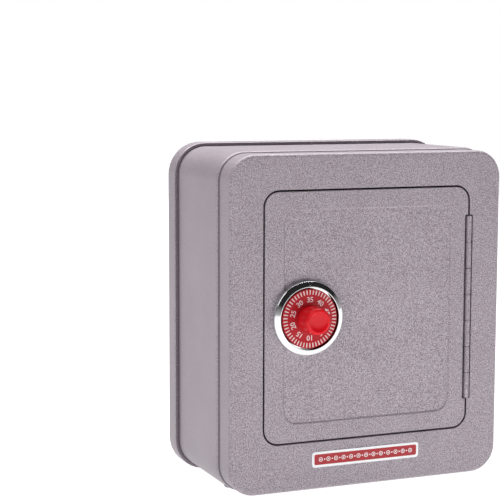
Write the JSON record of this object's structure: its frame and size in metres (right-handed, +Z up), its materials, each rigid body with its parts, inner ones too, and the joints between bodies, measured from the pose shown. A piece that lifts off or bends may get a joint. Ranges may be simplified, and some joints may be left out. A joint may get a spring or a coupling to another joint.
{
  "type": "toy safe coin bank",
  "caption": "Steel toy safe coin bank with a combination dial, a sliding latch bolt, a side-hinged door and a door alarm.",
  "frame": {"origin": "on the surface it stands on, under the middle of the overall box (casing and dial knob)", "axes": "+Z up; the door and dial face -Y; the door is hinged on the +X side"},
  "size_m": [0.1822, 0.1128, 0.2032],
  "materials": {
    "hammered_paint": "mauve-grey paint with a fine hammered speckle, satin",
    "dial_chrome": "bright polished plating",
    "plated_steel": "zinc-plated steel, satin",
    "lock_brass": "plain stamped brass",
    "dial_red": "red enamel with white divisions and numbers",
    "knob_red": "clear red moulded plastic, polished",
    "label_print": "red printed label with a white border",
    "black_plastic": "black moulded plastic, fine texture",
    "foot_grey": "grey moulded rubber",
    "board_green": "green circuit board",
    "cell_wrap": "plain blue wrap"
  },
  "bodies": {
    "casing": {"front_frame": "hammered_paint", "body_shell": "hammered_paint", "back_cover": "hammered_paint", "back_screw_1": "plated_steel", "back_screw_2": "plated_steel", "back_screw_3": "plated_steel", "back_screw_4": "plated_steel", "front_foot_left": "foot_grey", "front_foot_right": "foot_grey", "label": "label_print", "hinge_frame_leaf": "hammered_paint", "hinge_pin": "plated_steel", "alarm_case": "black_plastic", "alarm_back": "black_plastic", "alarm_bracket": "plated_steel", "alarm_screw_1": "plated_steel", "alarm_screw_2": "plated_steel", "battery_cell_1": "cell_wrap", "battery_cell_2": "cell_wrap", "contact_left": "lock_brass", "contact_right": "lock_brass", "circuit_board": "board_green", "push_switch": "black_plastic", "buzzer": "black_plastic", "plunger_spring": "plated_steel"},
    "door": {"door_skin": "hammered_paint", "door_liner": "plated_steel", "hinge_door_leaf": "hammered_paint", "dial_ring": "dial_chrome", "spindle_bush": "lock_brass", "lock_case": "plated_steel", "lock_plate": "plated_steel", "lock_screw_1": "plated_steel", "lock_screw_2": "plated_steel", "lock_screw_3": "plated_steel", "lock_screw_4": "plated_steel", "bolt_spring": "plated_steel"},
    "dial": {"dial_plate": "dial_red", "dial_knob": "knob_red", "dial_spindle": "plated_steel", "drive_cam": "plated_steel", "spindle_clip": "plated_steel"},
    "front_wheel": {"wheel_1": "lock_brass"},
    "rear_wheel": {"wheel_2": "lock_brass"},
    "bolt": {"latch_bolt": "plated_steel", "lever_pivot": "plated_steel"},
    "lever": {"fence_lever": "plated_steel"},
    "plunger": {"alarm_plunger": "black_plastic"},
    "switch": {"alarm_switch": "black_plastic"},
    "battery_lid": {"battery_cover": "black_plastic"}
  },
  "joints": [
    {"name": "door_hinge", "type": "hinge", "parent": "casing", "child": "door", "pos_m": [0.0664, -0.03875, 0.10555], "axis": [0, 0, 1], "range_deg": [0, 170]},
    {"name": "dial_turn", "type": "hinge", "parent": "door", "child": "dial", "pos_m": [-0.04, -0.03875, 0.10555], "axis": [0, -1, 0], "continuous": true},
    {"name": "front_wheel_turn", "type": "hinge", "parent": "door", "child": "front_wheel", "pos_m": [-0.04, -0.02325, 0.10555], "axis": [0, -1, 0], "continuous": true},
    {"name": "rear_wheel_turn", "type": "hinge", "parent": "door", "child": "rear_wheel", "pos_m": [-0.04, -0.02085, 0.10555], "axis": [0, -1, 0], "continuous": true},
    {"name": "bolt_slide", "type": "slide", "parent": "door", "child": "bolt", "axis": [-1, 0, 0], "range_m": [0, 0.005], "deforming": ["bolt_spring"]},
    {"name": "lever_drop", "type": "hinge", "parent": "bolt", "child": "lever", "pos_m": [-0.054, -0.02575, 0.12195], "axis": [0, 1, 0], "range_deg": [0, 10.5]},
    {"name": "plunger_press", "type": "slide", "parent": "casing", "child": "plunger", "axis": [0, 1, 0], "range_m": [0, 0.0025], "stiffness_N_per_m": 400, "springref_m": -0.002, "deforming": ["plunger_spring"]},
    {"name": "switch_slide", "type": "slide", "parent": "casing", "child": "switch", "axis": [1, 0, 0], "range_m": [0, 0.003]},
    {"name": "battery_lid_slide", "type": "slide", "parent": "casing", "child": "battery_lid", "axis": [-1, 0, 0], "range_m": [0, 0.024]}
  ],
  "couplings": [
    {"joint": "front_wheel_turn", "follows": "dial_turn", "ratio": 1},
    {"joint": "rear_wheel_turn", "follows": "dial_turn", "ratio": 1}
  ]
}
